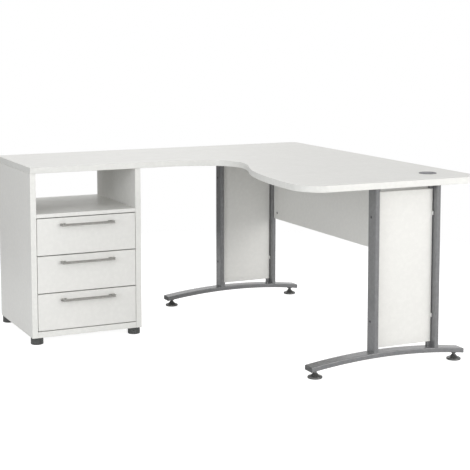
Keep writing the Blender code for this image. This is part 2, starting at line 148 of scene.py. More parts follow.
def loft(shape, rings, material=0, start_cap=True, end_cap=True):
    """Joins rings of points with quads and closes the ends. Returns the rings' vertices."""
    made = [[shape.verts.new(point) for point in ring] for ring in rings]
    count = len(made[0])
    for lower, upper in zip(made, made[1:]):
        for i in range(count):
            j = (i + 1) % count
            face = shape.faces.new((lower[i], lower[j], upper[j], upper[i]))
            face.material_index = material
    for wanted, ring in ((start_cap, made[0]), (end_cap, made[-1])):
        if wanted:
            shape.faces.new(ring).material_index = material
    return made


def circle(centre, radius, steps=CIRCLE_STEPS, across="XY"):
    """Points round the centre, in the plane across that pair of axes."""
    first, second = ("XYZ".index(axis) for axis in across)
    points = []
    for i in range(steps):
        angle = 2 * math.pi * i / steps
        point = Vector(centre)
        point[first] += radius * math.cos(angle)
        point[second] += radius * math.sin(angle)
        points.append(point)
    return points


AXES_ACROSS = {"X": "YZ", "Y": "ZX", "Z": "XY"}


def turned(shape, centre, profile, axis="Z", material=0, steps=CIRCLE_STEPS):
    """A solid of revolution: the profile is (radius, distance along the axis) pairs."""
    along = "XYZ".index(axis)
    rings = []
    for radius, distance in profile:
        middle = Vector(centre)
        middle[along] += distance
        rings.append(circle(middle, radius, steps, AXES_ACROSS[axis]))
    return loft(shape, rings, material)


def arc(centre, radius, start, end, steps):
    """Points from one angle in degrees to the other."""
    angles = [math.radians(start + (end - start) * i / steps) for i in range(steps + 1)]
    return [
        (centre[0] + radius * math.cos(a), centre[1] + radius * math.sin(a)) for a in angles
    ]


def round_rectangle(low, high, radius, steps=ROUND_STEPS):
    """Anticlockwise points of a rectangle with round corners."""
    (x0, y0), (x1, y1) = low, high
    corners = (
        ((x1 - radius, y0 + radius), -90),
        ((x1 - radius, y1 - radius), 0),
        ((x0 + radius, y1 - radius), 90),
        ((x0 + radius, y0 + radius), 180),
    )
    return [p for centre, start in corners for p in arc(centre, radius, start, start + 90, steps)]


def inset(outline, distance):
    """The anticlockwise outline moved inwards by a distance."""
    count = len(outline)
    moved = []
    for i in range(count):
        before, here, after = (Vector(outline[(i + k) % count]) for k in (-1, 0, 1))
        arriving = (here - before).normalized()
        leaving = (after - here).normalized()
        normal = Vector((-arriving.y - leaving.y, arriving.x + leaving.x)).normalized()
        across = max(normal.dot(Vector((-arriving.y, arriving.x))), 0.5)
        moved.append(here + normal * (distance / across))
    return moved


def edge_profile(low, high, radius, steps=ROUND_STEPS):
    """(inset, height) pairs up the rounded edge of a slab between two heights."""
    lower = [(radius - x, low + radius + y) for x, y in arc((0, 0), radius, -90, 0, steps)]
    upper = [(radius - x, high - radius + y) for x, y in arc((0, 0), radius, 0, 90, steps)]
    return lower + upper


def rounded_slab(shape, outline, low, high, radius, matrix=None, material=0, steps=ROUND_STEPS):
    """A flat piece with an anticlockwise outline and round edges; the matrix stands it up."""
    matrix = matrix or Matrix.Identity(4)
    rings = [
        [matrix @ Vector((*point, height)) for point in inset(outline, distance)]
        for distance, height in edge_profile(low, high, radius, steps)
    ]
    return loft(shape, rings, material)


def rounded_block(shape, low, high, radius, segments=3, material=0):
    """A box between two corners, with all its edges rounded. Returns its faces."""
    low, high = Vector(low), Vector(high)
    place = Matrix.Translation((low + high) / 2) @ Matrix.Diagonal((*(high - low), 1.0))
    made = bmesh.ops.create_cube(shape, size=1.0, matrix=place)
    edges = {edge for vertex in made["verts"] for edge in vertex.link_edges}
    known = set(shape.faces)
    kept = {face for vertex in made["verts"] for face in vertex.link_faces}
    bevelled = bmesh.ops.bevel(
        shape,
        geom=list(edges),
        offset=radius,
        segments=segments,
        profile=0.5,
        affect="EDGES",
    )
    faces = set(bevelled["faces"]) | {f for f in kept if f.is_valid} | (set(shape.faces) - known)
    for face in faces:
        face.material_index = material
    return faces


def mark_edges(mesh):
    """Stores where the surface turns sharply, for the wear of exposed edges."""
    shape = bmesh.new()
    shape.from_mesh(mesh)
    turns = []
    for vertex in shape.verts:
        normals = [face.normal for face in vertex.link_faces]
        widest = max((a.angle(b, 0) for a, b in itertools.combinations(normals, 2)), default=0)
        turns.append(1.0 if widest > WEAR_ANGLE else 0.0)
    shape.free()
    mesh.attributes.new("exposed_edge", "FLOAT", "POINT").data.foreach_set("value", turns)


def add_piece(name, shape, materials, body, replaced=()):
    """Makes the shape an object that rides on a CAD body and may stand for CAD nodes."""
    bmesh.ops.recalc_face_normals(shape, faces=shape.faces)
    mesh = bpy.data.meshes.new(name)
    shape.to_mesh(mesh)
    shape.free()
    for material in materials:
        mesh.materials.append(material)
    mark_edges(mesh)
    mesh.shade_smooth()
    mesh.set_sharp_from_angle(angle=SHARP_ANGLE)
    piece = bpy.data.objects.new(name, mesh)
    bpy.context.scene.collection.objects.link(piece)
    even = piece.modifiers.new("even_normals", "WEIGHTED_NORMAL")
    even.mode = "FACE_AREA"
    even.weight = 100
    even.keep_sharp = True
    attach(piece, body)
    if replaced:
        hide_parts(*replaced)
    return piece


def body_of(node):
    return NODES[node]["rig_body"]


def detail(node, shape, materials):
    """The fine piece that stands for one CAD node."""
    return add_piece(f"{node}_detail", shape, materials, body_of(node), (node,))


def carve(shape, cutter):
    """The shape with the cutter's volume taken out."""
    objects = []
    for name, source in (("carved", shape), ("cutter", cutter)):
        bmesh.ops.recalc_face_normals(source, faces=source.faces)
        mesh = bpy.data.meshes.new(name)
        source.to_mesh(mesh)
        source.free()
        made = bpy.data.objects.new(name, mesh)
        bpy.context.scene.collection.objects.link(made)
        objects.append(made)
    carved, tool = objects
    boolean = carved.modifiers.new("cut", "BOOLEAN")
    boolean.operation = "DIFFERENCE"
    boolean.use_self = True
    boolean.object = tool
    bpy.context.view_layer.update()
    graph = bpy.context.evaluated_depsgraph_get()
    result = bmesh.new()
    result.from_mesh(carved.evaluated_get(graph).to_mesh())
    if not result.faces:
        raise RuntimeError("the cut left nothing of the shape")
    for made in objects:
        mesh = made.data
        bpy.data.objects.remove(made)
        bpy.data.meshes.remove(mesh)
    return result


# Materials


def new_finish(name, colour, roughness, metallic=0.0, **sockets):
    """A Principled material and its shader; further sockets are set by name."""
    material = bpy.data.materials.new(name)
    material.use_nodes = True
    shader = material.node_tree.nodes["Principled BSDF"]
    shader.inputs["Base Color"].default_value = (*colour, 1.0)
    shader.inputs["Roughness"].default_value = roughness
    shader.inputs["Metallic"].default_value = metallic
    for socket, value in sockets.items():
        shader.inputs[socket.replace("_", " ")].default_value = value
    return material, material.node_tree, shader


def object_space(tree, stretch=(1.0, 1.0, 1.0)):
    coordinates = tree.nodes.new("ShaderNodeTexCoord")
    mapping = tree.nodes.new("ShaderNodeMapping")
    mapping.inputs["Scale"].default_value = stretch
    tree.links.new(coordinates.outputs["Object"], mapping.inputs["Vector"])
    return mapping.outputs["Vector"]


def noise(tree, scale, depth=2.0, stretch=(1.0, 1.0, 1.0)):
    texture = tree.nodes.new("ShaderNodeTexNoise")
    texture.inputs["Scale"].default_value = scale
    texture.inputs["Detail"].default_value = depth
    tree.links.new(object_space(tree, stretch), texture.inputs["Vector"])
    return texture.outputs["Fac"]


def cells(tree, scale, output="Distance", stretch=(1.0, 1.0, 1.0)):
    texture = tree.nodes.new("ShaderNodeTexVoronoi")
    texture.inputs["Scale"].default_value = scale
    tree.links.new(object_space(tree, stretch), texture.inputs["Vector"])
    return texture.outputs[output]


def remap(tree, value, low, high, start=0.3, end=0.7):
    """The value's range from start to end, spread over low to high."""
    node = tree.nodes.new("ShaderNodeMapRange")
    node.inputs["From Min"].default_value = start
    node.inputs["From Max"].default_value = end
    node.inputs["To Min"].default_value = low
    node.inputs["To Max"].default_value = high
    tree.links.new(value, node.inputs["Value"])
    return node.outputs["Result"]


def multiply(tree, first, second):
    node = tree.nodes.new("ShaderNodeMath")
    node.operation = "MULTIPLY"
    tree.links.new(first, node.inputs[0])
    tree.links.new(second, node.inputs[1])
    return node.outputs["Value"]


def mix_colours(tree, factor, first, second):
    """A blend of two colours, of which the first may be a socket."""
    node = tree.nodes.new("ShaderNodeMix")
    node.data_type = "RGBA"
    colours = [socket for socket in node.inputs if socket.type == "RGBA"]
    tree.links.new(factor, node.inputs["Factor"])
    for socket, colour in zip(colours, (first, second)):
        if isinstance(colour, bpy.types.NodeSocket):
            tree.links.new(colour, socket)
        else:
            socket.default_value = (*colour, 1.0)
    return next(socket for socket in node.outputs if socket.type == "RGBA")


def exposed_edges(tree, amount):
    """How worn the edge is here: patchy, and nothing away from edges."""
    attribute = tree.nodes.new("ShaderNodeAttribute")
    attribute.attribute_name = "exposed_edge"
    patches = remap(tree, noise(tree, 60.0, 4.0), 0.0, amount, 0.42, 0.68)
    return multiply(tree, attribute.outputs["Fac"], patches)


def relief(tree, shader, *layers):
    """Chains bumps, each a (height, depth in metres, strength)."""
    normal = None
    for height, depth, strength in layers:
        bump = tree.nodes.new("ShaderNodeBump")
        bump.inputs["Distance"].default_value = depth
        bump.inputs["Strength"].default_value = strength
        tree.links.new(height, bump.inputs["Height"])
        if normal is not None:
            tree.links.new(normal, bump.inputs["Normal"])
        normal = bump.outputs["Normal"]
    tree.links.new(normal, shader.inputs["Normal"])


def scaled(colour, factor):
    return tuple(min(1.0, channel * factor) for channel in colour)


def laminate(name, colour, roughness, pebble=900.0):
    """Melamine board: a fine pearl texture, faint mottling, and slightly lighter edges."""
    material, tree, shader = new_finish(name, colour, roughness, Specular_IOR_Level=0.42)
    mottling = remap(tree, noise(tree, 5.0, 5.0), 0.0, 1.0)
    mottled = mix_colours(tree, mottling, scaled(colour, 0.992), scaled(colour, 1.008))
    specks = remap(tree, noise(tree, 1600.0), 0.0, 0.5, 0.58, 0.75)
    speckled = mix_colours(tree, specks, mottled, scaled(colour, 0.965))
    worn = mix_colours(tree, exposed_edges(tree, 0.5), speckled, scaled(colour, 1.07))
    tree.links.new(worn, shader.inputs["Base Color"])
    satin = remap(tree, noise(tree, 14.0, 4.0), roughness - 0.04, roughness + 0.04)
    tree.links.new(satin, shader.inputs["Roughness"])
    relief(
        tree,
        shader,
        (cells(tree, pebble), 0.00005, 0.22),
        (noise(tree, pebble * 2.5), 0.00003, 0.30),
        (noise(tree, 7.0, 1.0), 0.0004, 0.035),
    )
    return material


def edge_band(name, colour):
    """Plastic banding: smoother than the board, with faint lines along its trimmed edge."""
    material, tree, shader = new_finish(name, colour, 0.36, Specular_IOR_Level=0.45)
    mottling = remap(tree, noise(tree, 40.0, 4.0), 0.0, 1.0)
    mottled = mix_colours(tree, mottling, scaled(colour, 0.985), scaled(colour, 1.01))
    worn = mix_colours(tree, exposed_edges(tree, 0.6), mottled, scaled(colour, 1.08))
    tree.links.new(worn, shader.inputs["Base Color"])
    tree.links.new(remap(tree, noise(tree, 90.0, 4.0), 0.32, 0.42), shader.inputs["Roughness"])
    relief(
        tree,
        shader,
        (noise(tree, 1200.0), 0.00003, 0.4),
        (noise(tree, 300.0, 2.0, (0.05, 0.05, 1.0)), 0.00004, 0.3),
    )
    return material


def powder_coat(name, colour):
    """Grey powder coat under clear lacquer: orange peel, flake, and rubbed edges."""
    material, tree, shader = new_finish(
        name,
        colour,
        0.45,
        Specular_IOR_Level=0.3,
        Coat_Weight=1.0,
        Coat_Roughness=0.12,
        Coat_IOR=1.6,
    )
    flake = remap(tree, cells(tree, 2600.0, "Color"), 0.0, 1.0, 0.2, 0.9)
    flaked = mix_colours(tree, flake, scaled(colour, 0.94), scaled(colour, 1.07))
    clouds = remap(tree, noise(tree, 22.0, 5.0), 0.0, 0.35)
    clouded = mix_colours(tree, clouds, flaked, scaled(colour, 0.9))
    worn = mix_colours(tree, exposed_edges(tree, 0.5), clouded, scaled(colour, 1.35))
    tree.links.new(worn, shader.inputs["Base Color"])
    tree.links.new(remap(tree, noise(tree, 150.0, 4.0), 0.41, 0.49), shader.inputs["Roughness"])
    relief(
        tree,
        shader,
        (noise(tree, 420.0, 2.0), 0.00005, 0.16),
        (noise(tree, 1800.0), 0.00002, 0.16),
    )
    return material


def brushed_metal(name, colour, roughness, grain=(0.04, 1.0, 1.0), metallic=0.9):
    """Satin metal brushed along the axis that the grain is short on."""
    material, tree, shader = new_finish(name, colour, roughness, metallic, Specular_IOR_Level=0.5)
    lines = noise(tree, 1500.0, 3.0, grain)
    streaks = remap(tree, lines, 0.0, 1.0)
    streaked = mix_colours(tree, streaks, scaled(colour, 0.86), scaled(colour, 1.12))
    worn = mix_colours(tree, exposed_edges(tree, 0.6), streaked, scaled(colour, 1.3))
    tree.links.new(worn, shader.inputs["Base Color"])
    satin = remap(tree, lines, roughness - 0.07, roughness + 0.09)
    tree.links.new(satin, shader.inputs["Roughness"])
    relief(tree, shader, (lines, 0.00003, 0.5), (noise(tree, 500.0), 0.00003, 0.25))
    return material


def plated_steel(name, colour, roughness):
    """Zinc plate with a faint crystal spangle and rolling marks."""
    material, tree, shader = new_finish(name, colour, roughness, 0.9, Specular_IOR_Level=0.5)
    spangle = remap(tree, cells(tree, 260.0, "Color"), 0.0, 1.0, 0.1, 0.9)
    crystals = mix_colours(tree, spangle, scaled(colour, 0.84), scaled(colour, 1.1))
    tree.links.new(crystals, shader.inputs["Base Color"])
    satin = remap(tree, spangle, roughness - 0.06, roughness + 0.1, 0.0, 1.0)
    tree.links.new(satin, shader.inputs["Roughness"])
    relief(
        tree,
        shader,
        (noise(tree, 900.0, 3.0, (1.0, 0.06, 1.0)), 0.00003, 0.5),
        (cells(tree, 260.0), 0.00002, 0.4),
    )
    return material


def moulded_plastic(name, colour, roughness, grain=700.0, depth=0.00008):
    """Injection-moulded plastic with a spark-eroded grain and scuffed edges."""
    material, tree, shader = new_finish(name, colour, roughness, Specular_IOR_Level=0.5)
    mottling = remap(tree, noise(tree, 120.0, 4.0), 0.0, 1.0)
    mottled = mix_colours(tree, mottling, scaled(colour, 0.9), scaled(colour, 1.1))
    worn = mix_colours(tree, exposed_edges(tree, 0.5), mottled, scaled(colour, 1.6))
    tree.links.new(worn, shader.inputs["Base Color"])
    satin = remap(tree, noise(tree, 260.0, 3.0), roughness - 0.06, roughness + 0.08)
    tree.links.new(satin, shader.inputs["Roughness"])
    relief(tree, shader, (cells(tree, grain), depth, 0.3), (noise(tree, grain * 3), depth / 2, 0.3))
    return material


def floor_finish():
    """Pale studio floor with a faint glow of its own, which fades out far from the desk."""
    grey = (0.45, 0.45, 0.45)
    material, tree, shader = new_finish("studio_floor", grey, 0.9, Specular_IOR_Level=0.05)
    shader.inputs["Emission Color"].default_value = (*NEUTRAL, 1.0)
    path = tree.nodes.new("ShaderNodeLightPath")
    glow = remap(tree, path.outputs["Is Camera Ray"], FLOOR_LIGHT, FLOOR_SEEN, 0.0, 1.0)
    tree.links.new(glow, shader.inputs["Emission Strength"])
    clear = tree.nodes.new("ShaderNodeBsdfTransparent")
    blend = tree.nodes.new("ShaderNodeMixShader")
    distance = tree.nodes.new("ShaderNodeVectorMath")
    distance.operation = "LENGTH"
    tree.links.new(object_space(tree), distance.inputs[0])
    faded = remap(tree, distance.outputs["Value"], 0.0, 1.0, *FLOOR_FADE)
    tree.links.new(faded, blend.inputs["Fac"])
    tree.links.new(shader.outputs["BSDF"], blend.inputs[1])
    tree.links.new(clear.outputs["BSDF"], blend.inputs[2])
    tree.links.new(blend.outputs["Shader"], tree.nodes["Material Output"].inputs["Surface"])
    return material


WHITE = (0.722, 0.718, 0.692)
LAMINATE = laminate("white_melamine", WHITE, 0.40)
BANDING = edge_band("white_edge_band", (0.73, 0.73, 0.70))
TOP_BANDING = edge_band("worktop_edge_band", (0.685, 0.685, 0.658))
FOIL = laminate("drawer_foil", (0.66, 0.66, 0.64), 0.5, 600.0)
HARDBOARD = laminate("painted_hardboard", (0.68, 0.68, 0.655), 0.55, 450.0)
STEEL = powder_coat("aluminium_grey_coat", (0.150, 0.152, 0.156))
PULL_METAL = brushed_metal("satin_nickel", (0.295, 0.29, 0.272), 0.38, metallic=0.35)
GLIDE_METAL = brushed_metal(
    "dark_glide_metal", (0.16, 0.16, 0.157), 0.25, grain=(1.0, 1.0, 0.05), metallic=0.6
)
ZINC = plated_steel("zinc_plate", (0.58, 0.585, 0.59), 0.34)
SCREW_STEEL = plated_steel("screw_zinc", (0.5, 0.5, 0.5), 0.28)
# Near black: painted shade that stands in for a shaded socket recess in the panel screws' heads; the
# modesty panel's cams share it.
DARK_SCREW = plated_steel("burnished_screw", (0.05, 0.05, 0.052), 0.4)
BLACK_PLASTIC = moulded_plastic("foot_plastic", (0.062, 0.064, 0.062), 0.26)
CAP_PLASTIC = moulded_plastic("end_cap_plastic", (0.075, 0.077, 0.077), 0.42)
GREY_PLASTIC = moulded_plastic("grommet_grey_plastic", (0.16, 0.163, 0.17), 0.45, 900.0)
NYLON = moulded_plastic("white_nylon", (0.74, 0.74, 0.71), 0.45)


# Boards


def glue_line(shape, faces, reach):
    """Insets the faces to where the band meets the board, and presses a fine groove in between."""
    steps = ((reach, 0.0), (GLUE_LINE / 2, -GLUE_DEPTH), (GLUE_LINE / 2, GLUE_DEPTH))
    for thickness, depth in steps:
        bmesh.ops.inset_individual(shape, faces=faces, thickness=thickness, depth=depth)


def banded_shape(low, high, radius=BAND_ROUND):
    """A board with plastic band round its narrow edges: material 0 on its faces, 1 on the band."""
    shape = bmesh.new()
    rounded_block(shape, low, high, radius, material=1)
    size = high - low
    thin = min(range(3), key=lambda axis: size[axis])
    across = sorted(range(3), key=lambda axis: size[axis])[1:]
    least = 0.5 * size[across[0]] * size[across[1]]
    shape.normal_update()
    broad = [f for f in shape.faces if abs(f.normal[thin]) > 0.999 and f.calc_area() > least]
    glue_line(shape, broad, BAND - radius)
    for face in broad:
        face.material_index = 0
    return shape


def banded_board(node, materials):
    return detail(node, banded_shape(*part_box(node)), materials)


def top_outline(node):
    """The outer loop of the CAD node's top face, anticlockwise, as points in x and y."""
    shape = bmesh.new()
    shape.from_mesh(NODES[node].data)
    bmesh.ops.remove_doubles(shape, verts=shape.verts, dist=0.00001)
    shape.normal_update()
    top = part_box(node)[1].z
    upper = {f for f in shape.faces if f.normal.z > 0.99 and f.calc_center_median().z > top - 0.001}
    rim = [e for e in shape.edges if len([f for f in e.link_faces if f in upper]) == 1]
    neighbours = {}
    for edge in rim:
        for here, other in itertools.permutations(edge.verts):
            neighbours.setdefault(here, []).append(other)
    start = min(neighbours, key=lambda v: (v.co.x, v.co.y))
    loop = [start]
    following = neighbours[start][0]
    while following is not start:
        onward = [v for v in neighbours[following] if v is not loop[-1]]
        loop.append(following)
        following = onward[0]
    points = [Vector(v.co.xy) for v in loop]
    shape.free()
    area = sum(a.cross(b) for a, b in zip(points, points[1:] + points[:1]))
    return points if area > 0 else points[::-1]


def smooth_outline(points, longest=0.06, corner=math.radians(30), divisions=4):
    """The outline with its curved stretches divided finely, and its sharp corners rounded in plan."""
    count = len(points)
    result = []
    for i in range(count):
        before, here, after, beyond = (points[(i + k) % count] for k in (-1, 0, 1, 2))
        turn = (here - before).angle(after - here)
        if turn > corner:
            back = (before - here).normalized() * PLAN_CORNER
            ahead = (after - here).normalized() * PLAN_CORNER
            for k in range(ROUND_STEPS + 1):
                t = k / ROUND_STEPS
                result.append(here + back * (1 - t) ** 2 + ahead * t**2)
            continue
        result.append(here)
        next_turn = (after - here).angle(beyond - after)
        spans = [(before - here).length, (after - here).length, (beyond - after).length]
        if next_turn > corner or spans[1] > longest:
            continue
        entry = (after - before) * (spans[1] / (spans[0] + spans[1]))
        leaving = (beyond - here) * (spans[1] / (spans[1] + spans[2]))
        for k in range(1, divisions):
            t = k / divisions
            a = 2 * t**3 - 3 * t**2 + 1
            b = t**3 - 2 * t**2 + t
            c = -2 * t**3 + 3 * t**2
            d = t**3 - t**2
            result.append(here * a + entry * b + after * c + leaving * d)
    return result


def band_profile(low, high, radius):
    """(inset, height) pairs up a banded edge, with the glue lines on both faces."""
    middle = BAND + GLUE_LINE / 2
    end = BAND + GLUE_LINE
    below = [(end, low), (middle, low + GLUE_DEPTH), (BAND, low)]
    above = [(BAND, high), (middle, high - GLUE_DEPTH), (end, high)]
    return below + edge_profile(low, high, radius) + above


def fill_between(shape, outer, hole, material):
    """Fills the flat area between two loops of vertices."""
    edges = []
    for ring in (outer, hole):
        for first, second in zip(ring, ring[1:] + ring[:1]):
            edge = shape.edges.get((first, second)) or shape.edges.new((first, second))
            edges.append(edge)
    filled = bmesh.ops.triangle_fill(shape, use_beauty=True, use_dissolve=False, edges=edges)
    for item in filled["geom"]:
        if isinstance(item, bmesh.types.BMFace):
            item.material_index = material


def build_worktop():
    low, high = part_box("worktop")
    outline = smooth_outline(top_outline("worktop"))
    shape = bmesh.new()
    rings = [
        [Vector((*point, height)) for point in inset(outline, distance)]
        for distance, height in band_profile(low.z, high.z, TOP_BAND_ROUND)
    ]
    outer = loft(shape, rings, material=1, start_cap=False, end_cap=False)
    liner_low, liner_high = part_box("grommet_liner")
    centre = (liner_low + liner_high) / 2
    hole_radius = (liner_high.x - liner_low.x) / 2 - 0.005
    bore = [circle((centre.x, centre.y, height), hole_radius) for height in (low.z, high.z)]
    hole = loft(shape, bore, material=2, start_cap=False, end_cap=False)
    fill_between(shape, outer[-1], hole[-1], 0)
    fill_between(shape, outer[0], hole[0], 0)
    detail("worktop", shape, (LAMINATE, TOP_BANDING, HARDBOARD))


def build_pedestal():
    for part in ("left_side", "right_side", "bottom", "shelf"):
        banded_board(f"pedestal_{part}", (LAMINATE, BANDING))
    shape = bmesh.new()
    rounded_block(shape, *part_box("pedestal_back"), HARDBOARD_ROUND)
    detail("pedestal_back", shape, (HARDBOARD,))


def build_pedestal_feet():
    """Round feet with a rolled-in base and a groove near the top."""
    for row, column in itertools.product(("front", "back"), ("left", "right")):
        node = f"pedestal_foot_{row}_{column}"
        low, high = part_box(node)
        centre = ((low.x + high.x) / 2, (low.y + high.y) / 2, 0.0)
        radius = (high.x - low.x) / 2
        height = high.z
        profile = (
            (radius - 0.0060, 0.0),
            (radius - 0.0030, 0.0),
            (radius - 0.0012, 0.0006),
            (radius - 0.0003, 0.0018),
            (radius, 0.0035),
            (radius - 0.0002, height - 0.0060),
            (radius - 0.0010, height - 0.0052),
            (radius - 0.0010, height - 0.0042),
            (radius - 0.0002, height - 0.0034),
            (radius - 0.0002, height - 0.0010),
            (radius - 0.0012, height),
            (radius - 0.0040, height),
        )
        shape = bmesh.new()
        turned(shape, centre, profile)
        detail(node, shape, (BLACK_PLASTIC,))


# Cable outlet


def build_grommet():
    low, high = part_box("grommet_liner")
    centre = (low + high) / 2
    place = Vector((centre.x, centre.y, 0.0))
    flange = (high.x - low.x) / 2
    sleeve = flange - FLANGE_REACH
    inner = sleeve - SLEEVE_WALL
    under = high.z - FLANGE_THICKNESS
    profile = (
        (inner, low.z + 0.0006),
        (inner + 0.0006, low.z),
        (sleeve - 0.0004, low.z),
        (sleeve, low.z + 0.0006),
        (sleeve, under),
        (flange - 0.0003, under),
        (flange, under + 0.0003),
        (flange - 0.0002, high.z - 0.0013),
        (flange - 0.0011, high.z - 0.0003),
        (flange - 0.0024, high.z),
        (inner + 0.0012, high.z),
        (inner + 0.0004, high.z - 0.0004),
        (inner, high.z - 0.0012),
    )
    shape = bmesh.new()
    rings = [circle(place + Vector((0, 0, z)), radius) for radius, z in profile]
    loft(shape, [*rings, rings[0]], start_cap=False, end_cap=False)
    bmesh.ops.remove_doubles(shape, verts=shape.verts, dist=0.00001)
    detail("grommet_liner", shape, (GREY_PLASTIC,))
    build_grommet_cap(place)


def build_grommet_cap(place):
    """The lid, with a rounded slot at its rim where cables come up, and a skirt under it."""
    low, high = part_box("grommet_cap")
    radius = (high.y - low.y) / 2
    slot_end = radius - CAP_SLOT_DEPTH + CAP_SLOT
    mouth = math.degrees(math.asin(CAP_SLOT / radius))
    rim = arc((0, 0), radius, mouth, 360 - mouth, 60)
    channel = arc((slot_end, 0), CAP_SLOT, 270, 90, 12)
    outline = [(place.x + x, place.y + y) for x, y in rim + channel]
    lid = bmesh.new()
    rounded_slab(lid, outline, high.z - CAP_THICKNESS, high.z, 0.0006, steps=3)
    skirt_outer = radius - 0.0004
    skirt = [
        (place.x + x, place.y + y)
        for x, y in arc((0, 0), skirt_outer, mouth + 3, 357 - mouth, 60)
        + arc((0, 0), skirt_outer - 0.0014, 357 - mouth, mouth + 3, 60)
    ]
    rings = [[Vector((*p, z)) for p in skirt] for z in (low.z, high.z - SKIRT_DROP)]
    loft(lid, rings)
    detail("grommet_cap", lid, (GREY_PLASTIC,))


# Screws


def pan_head(shape, centre, radius, height, axis, outward):
    """A domed screw head with a cross recess, proud of the surface at its centre."""
    dome = [
        (radius * math.cos(a), outward * height * math.sin(a))
        for a in (math.radians(15 * k) for k in range(6))
    ]
    profile = [(radius, -outward * 0.0004), *dome]
    head = bmesh.new()
    turned(head, centre, profile, axis, steps=24)
    recess = bmesh.new()
    along = "XYZ".index(axis)
    for arm in range(3):
        if arm == along:
            continue
        half = Vector((radius * 0.12,) * 3)
        half[arm] = radius * 0.55
        half[along] = height * 0.6
        middle = Vector(centre)
        middle[along] += outward * height
        rounded_block(recess, middle - half, middle + half, radius * 0.05, 1)
    carved = carve(head, recess)
    mesh = bpy.data.meshes.new("screw_head")
    carved.to_mesh(mesh)
    carved.free()
    shape.from_mesh(mesh)
    bpy.data.meshes.remove(mesh)


def screws(name, places, radius, height, axis, outward, body, material=None):
    """One piece that holds a row of screw heads."""
    shape = bmesh.new()
    for place in places:
        pan_head(shape, place, radius, height, axis, outward)
    add_piece(name, shape, (material or SCREW_STEEL,), body)


# Drawers


def handle_outline(half, reach, back):
    """The pull in plan, anticlockwise: pads against the front, posts, and the bar between."""
    bar = 0.0075
    post = 0.0085
    pad = 0.0014
    pad_reach = 0.0215
    corner = 0.0075
    flare = 0.0105
    inner_corner = 0.0045
    post_inside = half - post
    right = [
        (half - pad_reach, back),
        (half - pad_reach, back - pad),
        *[
            (post_inside - flare + x, back - pad - flare + y)
            for x, y in arc((0, 0), flare, 90, 0, 6)
        ],
        *arc((post_inside - inner_corner, -reach + bar + inner_corner), inner_corner, 0, -90, 5),
    ]
    outer = [(half, back), *arc((half - corner, -reach + corner), corner, 0, -90, 8)]
    clockwise = [*right, *[(-x, y) for x, y in reversed(right)]]
    clockwise += [(-x, y) for x, y in outer] + list(reversed(outer))
    return clockwise[::-1]


def build_handle(drawer):
    node = f"{drawer}_handle"
    low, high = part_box(node)
    centre = (low + high) / 2
    front_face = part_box(f"{drawer}_front")[0].y
    half = (high.x - low.x) / 2
    outline = handle_outline(half, front_face - low.y, high.y - front_face)
    place = Matrix.Translation((centre.x, front_face, 0.0))
    shape = bmesh.new()
    rounded_slab(shape, outline, low.z, high.z, PULL_ROUND, place, steps=5)
    detail(node, shape, (PULL_METAL,))
    inner_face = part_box(f"{drawer}_front")[1].y
    posts = [(centre.x + side * (half - 0.0055), inner_face, centre.z) for side in (-1, 1)]
    screws(f"{drawer}_handle_screws", posts, 0.0042, 0.0022, "Y", 1, body_of(node))


def swept_section(section, wall, inward, bottom, start, end):
    """A rolled section swept front to back; its points count inwards from the wall and up."""
    shape = bmesh.new()
    outline = [(wall + inward * x, bottom + z) for x, z in section]
    rings = [[Vector((x, y, z)) for x, z in outline] for y in (start, end)]
    loft(shape, rings)
    return shape


def rolled(points, thickness, radius=0.0011):
    """The outline of a strip of sheet that follows the points, with round bends."""
    middle = [Vector(p) for p in points]
    path = [middle[0]]
    for before, here, after in zip(middle, middle[1:], middle[2:]):
        back = (before - here).normalized() * radius
        ahead = (after - here).normalized() * radius
        for k in range(4):
            t = k / 3
            path.append(here + back * (1 - t) ** 2 + ahead * t**2)
    path.append(middle[-1])
    left, right = [], []
    for i, here in enumerate(path):
        before = path[max(i - 1, 0)]
        after = path[min(i + 1, len(path) - 1)]
        along = (after - before).normalized()
        across = Vector((-along.y, along.x)) * thickness / 2
        left.append(here + across)
        right.append(here - across)
    return [*right, *left[::-1]]


def build_runners(drawer, side):
    """The C channel on the pedestal's side, its roller and screws, and the drawer's own runner."""
    cabinet_node = f"{drawer}_cabinet_runner_{side}"
    low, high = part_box(cabinet_node)
    inward = 1 if side == "left" else -1
    wall = low.x if inward > 0 else high.x
    depth = high.x - low.x
    height = high.z - low.z
    half = RUNNER_SHEET / 2
    corners = [(depth, half), (half, half), (half, height - half), (depth, height - half)]
    channel = rolled(corners, RUNNER_SHEET)
    shape = swept_section(channel, wall, inward, low.z, low.y, high.y)
    roller_place = (wall + inward * (depth - 0.0045), low.y + 0.010, low.z + 0.0055)
    detail(cabinet_node, shape, (ZINC,))
    wheel(f"{drawer}_cabinet_roller_{side}", roller_place, 0.0039, 0.0036, body_of(cabinet_node))
    places = [
        (wall + inward * RUNNER_SHEET, low.y + share * (high.y - low.y), low.z + height / 2)
        for share in RUNNER_SCREWS
    ]
    name = f"{drawer}_cabinet_runner_screws_{side}"
    screws(name, places, 0.0034, 0.0014, "X", inward, body_of(cabinet_node))
    build_drawer_runner(drawer, side, wall, inward, low.z)


